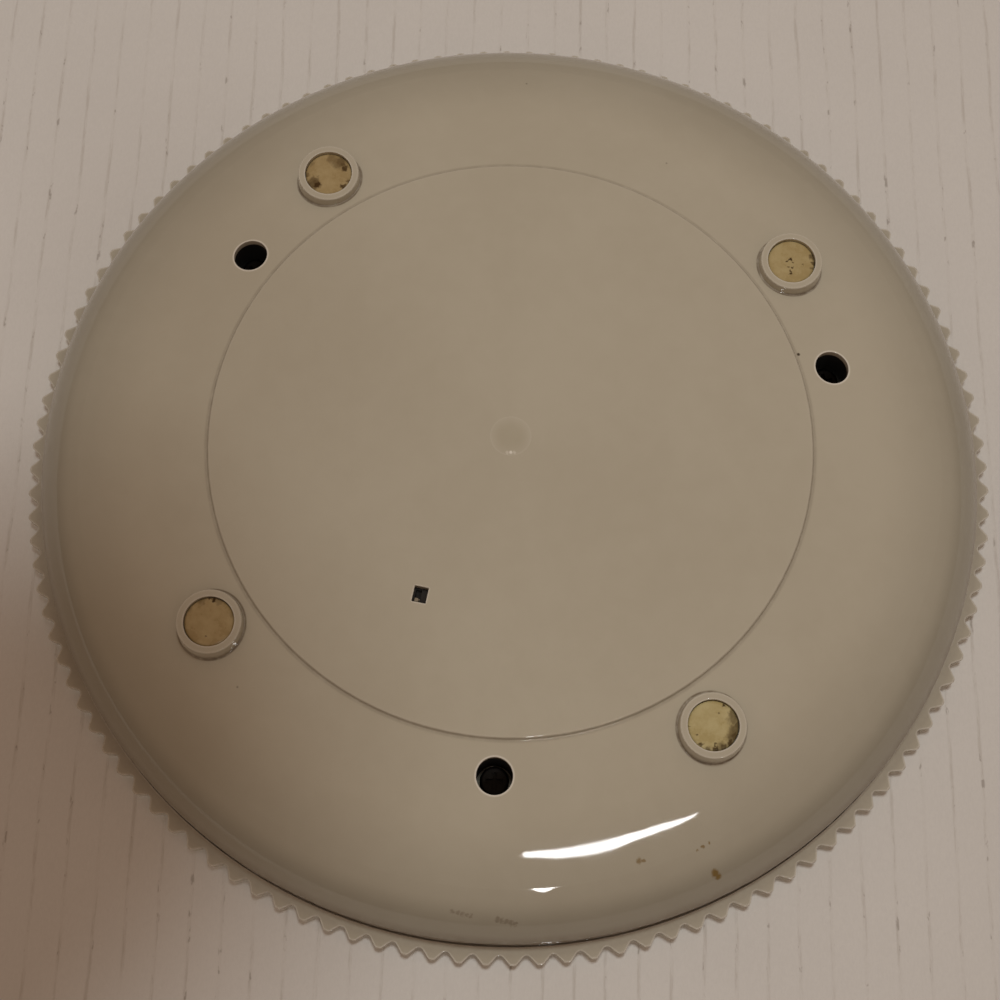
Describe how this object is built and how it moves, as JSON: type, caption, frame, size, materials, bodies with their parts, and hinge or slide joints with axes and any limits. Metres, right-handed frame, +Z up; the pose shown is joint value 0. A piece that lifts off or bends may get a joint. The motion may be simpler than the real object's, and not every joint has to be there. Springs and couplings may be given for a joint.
{
  "type": "digital bathroom scale",
  "caption": "Round low digital bathroom scale with a fluted platform rim, domed base, ring feet with recessed pads and load cells inside.",
  "frame": {"origin": "centre of the foot plane, on the axis of the round housing", "axes": "+Z up through the platform, +Y toward the display, +X to the right of a user who faces the display"},
  "size_m": [0.305, 0.305, 0.037],
  "materials": {
    "base_plastic": "glossy moulded plastic, slightly soiled",
    "platform_plastic": "glossy moulded plastic",
    "pad_rubber": "yellowed smooth pad with brown stains",
    "cell_steel": "stamped, brushed",
    "cradle_plastic": "matt",
    "gauge_seal": "soft silicone seal",
    "lead_jacket": "flexible jacket",
    "screw_steel": "zinc plated",
    "board_laminate": "solder mask",
    "chip_resin": "matt resin",
    "can_metal": "satin",
    "capacitor_sleeve": "shrink sleeve",
    "connector_nylon": "matt",
    "switch_resin": "matt black housing",
    "screw_black": "black oxide",
    "slider_nylon": "matt",
    "frame_plastic": "matt",
    "lcd_glass": "reflective panel",
    "strip_rubber": "soft",
    "foam": "closed-cell foam",
    "ribbon_film": "flat cable film",
    "battery_sleeve": "printed-free shrink sleeve",
    "contact_nickel": "nickel plated",
    "mat_vinyl": "ribbed vinyl",
    "bezel_plastic": "gloss",
    "lens_clear": "clear",
    "spring_steel": "drawn wire"
  },
  "bodies": {
    "base": {"base_shell": "base_plastic", "foot_pad_front_left": "pad_rubber", "load_cell_front_left": "cell_steel", "load_cell_cradle_front_left": "cradle_plastic", "strain_gauge_front_left": "gauge_seal", "load_cell_lead_front_left": "lead_jacket", "foot_pad_front_right": "pad_rubber", "load_cell_front_right": "cell_steel", "load_cell_cradle_front_right": "cradle_plastic", "strain_gauge_front_right": "gauge_seal", "load_cell_lead_front_right": "lead_jacket", "foot_pad_rear_right": "pad_rubber", "load_cell_rear_right": "cell_steel", "load_cell_cradle_rear_right": "cradle_plastic", "strain_gauge_rear_right": "gauge_seal", "load_cell_lead_rear_right": "lead_jacket", "foot_pad_rear_left": "pad_rubber", "load_cell_rear_left": "cell_steel", "load_cell_cradle_rear_left": "cradle_plastic", "strain_gauge_rear_left": "gauge_seal", "load_cell_lead_rear_left": "lead_jacket", "cradle_screws": "screw_steel", "circuit_board": "board_laminate", "board_screws": "screw_steel", "controller_chip": "chip_resin", "converter_chip": "chip_resin", "clock_crystal": "can_metal", "board_capacitors": "capacitor_sleeve", "lead_connectors": "connector_nylon", "battery_connector": "connector_nylon", "selector_body": "switch_resin", "display_board": "board_laminate", "lcd_frame": "frame_plastic", "lcd_panel": "lcd_glass", "contact_strips": "strip_rubber", "light_gasket": "foam", "display_ribbon": "ribbon_film", "battery_tray": "cradle_plastic", "battery_cell": "battery_sleeve", "battery_contacts": "contact_nickel", "battery_leads": "lead_jacket", "screw_sleeves": "cradle_plastic", "hold_down_springs": "spring_steel"},
    "platform": {"platform": "platform_plastic", "tread_mat": "mat_vinyl", "display_bezel": "bezel_plastic", "display_lens": "lens_clear", "pressure_studs": "screw_steel", "hold_down_screws": "screw_black"},
    "selector": {"selector_slider": "slider_nylon"}
  },
  "joints": [
    {"name": "platform_sink", "type": "slide", "parent": "base", "child": "platform", "axis": [0, 0, -1], "range_m": [0, 0.0005], "stiffness_N_per_m": 2600000},
    {"name": "selector_slide", "type": "slide", "parent": "base", "child": "selector", "axis": [0, -1, 0], "range_m": [0, 0.0022]}
  ]
}
